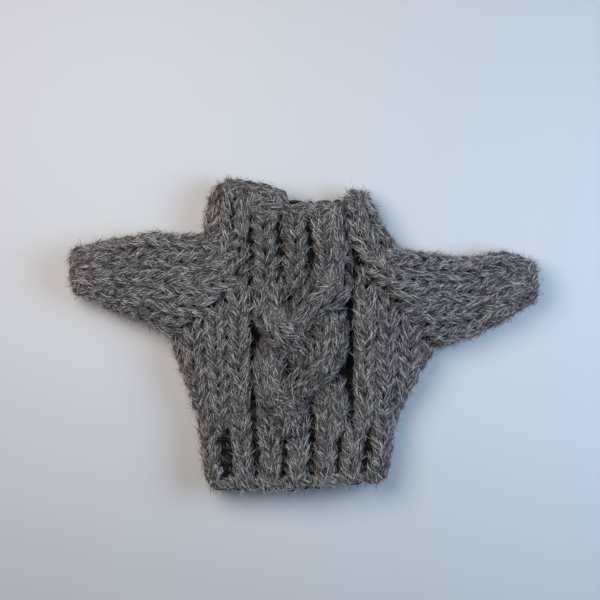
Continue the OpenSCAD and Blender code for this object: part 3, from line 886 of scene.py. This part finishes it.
def wool_material(name, dark, mid, light, bright):
    """Heather-grey spun wool: streaks from dark through mid to light along the yarn, and bright fibres.

    The tone attribute is below 0 where shade is painted on the yarn and on dark fibres, and above 0 on pale
    fibres, whose paleness is cut by the same painted shade."""
    m = bpy.data.materials.new(name)
    m.use_nodes = True
    nodes, links = m.node_tree.nodes, m.node_tree.links
    nodes.clear()

    def add(kind, **values):
        node = nodes.new("ShaderNode" + kind)
        for socket, value in values.items():
            node.inputs[socket.replace("_", " ")].default_value = value
        return node

    def attribute(what):
        node = add("Attribute")
        node.attribute_name = what
        return node

    def mix(colour):
        """A mix whose second colour is given."""
        node = add("Mix")
        node.data_type = "RGBA"
        node.inputs["B"].default_value = (*colour, 1)
        return node

    fibre, tone = attribute("fibre"), attribute("tone")
    streak = add("TexNoise", Scale=4.2, Detail=5.0, Roughness=0.65)
    ramp = add("ValToRGB")
    stops = ramp.color_ramp.elements
    stops[0].position, stops[1].position = 0.36, 0.64
    stops[0].color, stops[1].color = (*dark, 1), (*light, 1)
    stops.new(0.5).color = (*mid, 1)
    bump = add("Bump", Strength=0.55, Distance=0.00025)
    # How much shade to paint into the colour: none at tone 0, all at tone -0.8 and below.
    painted_shade = add("MapRange", From_Min=-0.8, From_Max=0.0, To_Min=1.0, To_Max=0.0)
    # deep is the painted shade colour, 0.15 of the dark streak colour; hairs is the colour of pale fibres.
    deep, hairs = mix([0.15 * v for v in dark]), mix(bright)
    shader = add("BsdfPrincipled", Roughness=0.92, Specular_IOR_Level=0.18, Sheen_Weight=0.25,
                 Sheen_Roughness=0.45, Sheen_Tint=(0.8, 0.78, 0.8, 1))
    out = add("OutputMaterial")
    links.new(fibre.outputs["Vector"], streak.inputs["Vector"])
    links.new(streak.outputs["Fac"], ramp.inputs["Fac"])
    links.new(tone.outputs["Fac"], painted_shade.inputs["Value"])
    links.new(painted_shade.outputs["Result"], deep.inputs["Factor"])
    links.new(ramp.outputs["Color"], deep.inputs["A"])
    links.new(tone.outputs["Fac"], hairs.inputs["Factor"])
    links.new(deep.outputs["Result"], hairs.inputs["A"])
    links.new(hairs.outputs["Result"], shader.inputs["Base Color"])
    links.new(streak.outputs["Fac"], bump.inputs["Height"])
    links.new(bump.outputs["Normal"], shader.inputs["Normal"])
    links.new(shader.outputs["BSDF"], out.inputs["Surface"])
    return m


# ---------------------------------------------------------------- stage, in metres

LAMP_SIZE = 0.17
LAMP_POWER = 0.52                   # watts


def floor():
    """A plain pale sheet, just under the garment."""
    half, z = 1.5, -0.0004
    data = bpy.data.meshes.new("table")
    corners = [(-half, -half, z), (half, -half, z), (half, half, z), (-half, half, z)]
    data.from_pydata(corners, [], [(0, 1, 2, 3)])
    m = bpy.data.materials.new("pale_sheet")
    m.use_nodes = True
    shader = m.node_tree.nodes["Principled BSDF"]
    shader.inputs["Base Color"].default_value = (0.60, 0.62, 0.655, 1)
    shader.inputs["Roughness"].default_value = 0.7
    data.materials.append(m)
    linked("table", data)


def light(name, place, aim, colour):
    """A soft round lamp."""
    data = bpy.data.lights.new(name, "AREA")
    data.shape = "DISK"
    data.size = LAMP_SIZE
    data.energy = LAMP_POWER
    data.color = colour
    obj = linked(name, data)
    obj.location = place
    obj.rotation_euler = (Vector(aim) - Vector(place)).to_track_quat("-Z", "Y").to_euler()


def camera():
    """Straight above the garment, a little above its middle, as it was photographed."""
    data = bpy.data.cameras.new("camera")
    data.lens = 60
    data.sensor_width = 36
    data.clip_start = 0.01
    view_wide, high = 0.171, 0.011              # width of the view, at this height
    obj = linked("camera", data)
    obj.location = (-0.0011, 0.0095, high + view_wide * data.lens / data.sensor_width)
    bpy.context.scene.camera = obj


def world():
    """Dim bluish light from everywhere."""
    w = bpy.data.worlds.new("room")
    bpy.context.scene.world = w
    w.use_nodes = True
    background = w.node_tree.nodes["Background"]
    background.inputs["Color"].default_value = (0.84, 0.91, 1.0, 1)
    background.inputs["Strength"].default_value = 0.075


def set_stage():
    """Warm light from the upper left and blue light from the right, as in the photo."""
    camera()
    floor()
    world()
    light("window", (-0.10, 0.08, 0.22), (-0.01, 0.0, 0), (1.0, 0.91, 0.83))
    light("sky", (0.19, 0.02, 0.19), (0.01, -0.01, 0), (0.58, 0.79, 1.0))
    bpy.context.scene.view_settings.view_transform = "Standard"


# ---------------------------------------------------------------- knitting the garment

def make_body():
    """The two fields beside the plait, the back, and the side seams between them."""
    def left_owner(p, column, row):
        tucked = left_raglan(p[1]) - 3.0            # the last stitches under the sleeve
        if p[2] < MIDDLE - 0.5 or (p[1] > ARM_Y and p[0] < tucked):
            return None
        return "left_side_seam" if p[0] < body_left(p[1]) + EDGE else "front_left_field"

    def right_owner(p, column, row):
        tucked = right_raglan(p[1]) + 3.2
        if p[2] < MIDDLE - 0.5 or (p[1] > ARM_Y and p[0] > tucked):
            return None
        return "right_side_seam" if p[0] > body_right(p[1]) - EDGE else "front_right_field"

    def back_owner(p, column, row):
        past_raglan = p[0] > right_raglan(p[1]) - 0.9 or p[0] < left_back_raglan(p[1]) + 0.9
        if p[2] > MIDDLE + 0.5 or (p[1] > ARM_Y and past_raglan):
            return None
        strip = EDGE * 0.7
        if p[0] < body_left(p[1]) + strip:
            return "left_side_seam"
        return "right_side_seam" if p[0] > body_right(p[1]) - strip else "back_panel"

    front_rows, back_rows = range(0, 17), range(0, 15)
    knit(left_field, front_rows, -5, 0, left_owner, shown=in_groove(left_field))
    knit(right_field, front_rows, 0, 5, right_owner, shown=in_groove(right_field))
    knit(back_cloth, back_rows, -7, 7, back_owner)


def make_hem():
    """The hem ribs, one more row where the front rib meets the plait, and the two cast-on edges."""
    def owner(p, column, row):
        if column == 0 or column >= HEM_RIB.count - 1:
            return "left_side_seam" if p[0] < MID_X else "right_side_seam"
        return "front_hem_rib" if p[2] > MIDDLE else "back_hem_rib"

    rows, joining_row = np.arange(0.7, 5.3, 0.94), 5.6
    HEM_RIB.knit(hem_cloth, rows, 0, HEM_RIB.count + 1, owner)
    HEM_RIB.knit(hem_cloth, [joining_row], 3, 10, owner)
    HEM_RIB.knit(hem_back_cloth, rows, 0, HEM_RIB.count, owner)
    c = np.linspace(0.1, HEM_RIB.count - 0.1, 160)
    for cloth, name, out in ((hem_cloth, "front_hem_edge", 1), (hem_back_cloth, "back_hem_edge", -1)):
        line = cloth(c, np.full(len(c), 0.1))
        line[:, 2] += out * (HEM_RIB.relief(c, c) * 0.6)
        twisted(wools[name], line, (0, 0, 1), pitch=3.9)


def make_panel():
    """The purl ground with the plait over it, and the ribs at the neck."""
    def rib_owner(p, column, row):
        if p[1] < NECK_FOLD:
            return None if column == 0 or p[0] > right_raglan(p[1]) + 0.4 else "front_cable_ground"
        if p[0] < CORNER_RIGHT:
            return "front_neck_corner" if p[1] < NECK_TOP + 2.2 else None
        return "front_neck_rib" if p[1] < NECK_TOP - 0.9 else None

    # The purl ground lies under and beside the plait, so half shade is painted on all of it.
    half_painted_shade = lambda c, r: 0.5 + 0 * c
    knit(ground_cloth, range(0, 13), 0, GROUND.count, always("front_cable_ground"),
         purl=range(GROUND.count), shown=half_painted_shade, wide=0.9)
    for turn, name in ((0, "a"), (120, "b"), (240, "c")):
        strand = Strand(turn)
        knit(strand.cloth, strand.rows, 0, 2, always(f"plait_strand_{name}"), shown=strand.shown)
    NECK_RIB.knit(neck_cloth, range(-1, 8), 0, NECK_RIB.count, rib_owner)
    NECK_RIB.knit(back_neck_cloth, range(0, 3), 0, NECK_RIB.count, always("back_neck_rib"))


def oval(value):
    """A rounded oval's cosine or sine, a little fuller than a circle's."""
    return np.sign(value) * np.abs(value) ** 0.8


def make_sleeves():
    """Both sleeves, each with a twisted cast-on edge round its cuff."""
    rows, turn = range(0, 19), np.linspace(0, 2 * np.pi, 90)
    for sleeve in SLEEVES:
        knit(sleeve.cloth, rows, -7, 7, sleeve.owner, shown=in_groove(sleeve.cloth))
        out = sleeve.cuff + 3.1
        top, low, _ = sleeve.girth(out)
        across = (top - low) / 2 * 0.84 * oval(np.cos(turn))
        y = (top + low) / 2 + across
        z = MIDDLE + HALF * 0.66 * oval(np.sin(turn))
        line = point(sleeve.side * (out - 1.4 * (1 - np.cos(across * 0.2))), y, z)
        away = point(0, y - (top + low) / 2, z - MIDDLE)
        twisted(wools[f"{sleeve.name}_cuff"], line, away, pitch=3.8, size=0.7)


def make_neck_edges():
    """The bound-off edges. At the left corner the front one is turned down over the rib."""
    z, high = TOP + 0.2, box("front_neck_edge")[1][1]
    left, right = NECK_LEFT, CORNER_RIGHT
    corner = [(left - 2.6, high - 2.6, z - 0.9), (left + 0.6, high - 2.9, z - 0.8),
              (left + 7, high - 3.8, z - 0.4), (right - 3.2, high - 5.0, z - 0.4),
              (right - 1.7, high - 7.0, z - 0.8), (right - 1.4, high - 9.5, z - 1.2)]
    folded = [(left + 2.4, high - 7.6, z + 0.7), (left + 7, high - 8.4, z + 1.0),
              (right - 2.6, high - 9.4, z + 0.5)]
    front = [(right + 0.8, NECK_TOP - 0.9, z - 0.3), (NECK_RIGHT - 1, NECK_TOP - 0.7, z - 0.3)]
    back = [(left + 1, NECK_TOP - 1.6, BOTTOM), (NECK_RIGHT - 1, NECK_TOP - 1.6, BOTTOM)]
    chain(wools["front_neck_edge"], corner, (0, 0, 1.0), 2.6)
    chain(wools["front_neck_edge"], folded, (0, 0, 1.0), 2.4)
    chain(wools["front_neck_edge"], front, (0, 0, 1.0), 1.9)
    chain(wools["back_neck_edge"], back, (0, 0, -1.0), 1.9)


def make_seams():
    """The overcast seams down both sides and under both arms."""
    def seam(name, x, y, up):
        twisted(wools[name], point(x, y, MIDDLE), up, pitch=4.4, size=0.6, thick=0.8)

    y = np.linspace(HEM_LOW + 1.5, ARM_Y - 0.5, 80)
    seam("left_side_seam", body_left(y) + 0.9, y, (-1, 0, 0))
    seam("right_side_seam", body_right(y) - 0.9, y, (1, 0, 0))
    for sleeve in SLEEVES:
        parts = (("underarm_seam", abs(ARM_LEFT) - 1, SLEEVE_ARM),
                 ("sleeve_seam", SLEEVE_ARM, sleeve.cuff - 1))
        for part, start, end in parts:
            out = np.linspace(start, end, 50)
            seam(f"{sleeve.name}_{part}", sleeve.side * out, through(out, sleeve.low) + 0.9, (0, -1, 0))


# ---------------------------------------------------------------- finished pieces

SHORT_FIBRES = {"per_mm": 5.6, "long": (1.5, 3.4), "thick": 0.080,
                "lift": 0.10, "spread": 0.15, "curl": 0.32}
STRAY_FIBRES = {"per_mm": 1.7, "long": (1.6, 3.9), "thick": 0.034,
                "lift": 0.8, "spread": 0.35, "curl": 0.7}
QUIET = {"back_panel": 0.35, "front_cable_ground": 0.3, "back_hem_rib": 0.6}    # share of fibres there
CROSSING = ("sleeve_front", "sleeve_back", "sleeve_edge", "sleeve_seam",
            "shoulder_front", "shoulder_back", "shoulder_edge", "underarm_seam")
BODY_OF = {node: body for body, nodes in frame["record"]["behaviour"]["bodies"].items() for node in nodes}
SLOTS = {part["node"]: part["material_slot"] for part in frame["record"]["subparts"]}


def attach(obj, node, inner, high):
    """Fabric that crosses a fold, and fabric that reaches up near the neck's fold, stays where it is; every
    other piece rides on its body.

    inner says that the piece is beside the body, and high is how high up it reaches."""
    body = BODY_OF[node]
    side, _, part = node.partition("_")
    if part in CROSSING and not inner:
        fold = FOLD_LEFT if side == "left" else FOLD_RIGHT
        way = math.copysign(SLEEVE_BEND, fold)
        near, far = fold - way, fold + way
        near * MM
        far * MM
        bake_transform(obj)
    elif body in ("garment", "neck") and high > NECK_FOLD - NECK_BEND:
        (NECK_FOLD - NECK_BEND) * MM
        (NECK_FOLD + NECK_BEND) * MM
        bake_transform(obj)
    else:
        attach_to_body(obj, body)


def finish_piece(name, wool, material):
    """Gives a piece its fibres, makes its mesh, and hangs it in the frame."""
    node = name.removesuffix("_inner")
    share = QUIET.get(node, 1.0)
    wool.fuzz(share, **SHORT_FIBRES)
    wool.fuzz(share, **STRAY_FIBRES)
    obj = wool.mesh()
    obj.data.materials.append(material)
    attach(obj, node, node != name, max(p[:, 1].max() for p in wool.points))
    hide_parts(node)
    SLOTS[node]


set_stage()
make_body()
make_hem()
make_panel()
make_sleeves()
make_neck_edges()
make_seams()
grey = wool_material("heather_wool", dark=(0.009, 0.0085, 0.010), mid=(0.052, 0.050, 0.051),
                     light=(0.45, 0.43, 0.425), bright=(0.86, 0.82, 0.81))
for name, wool in wools.items():
    finish_piece(name, wool, grey)
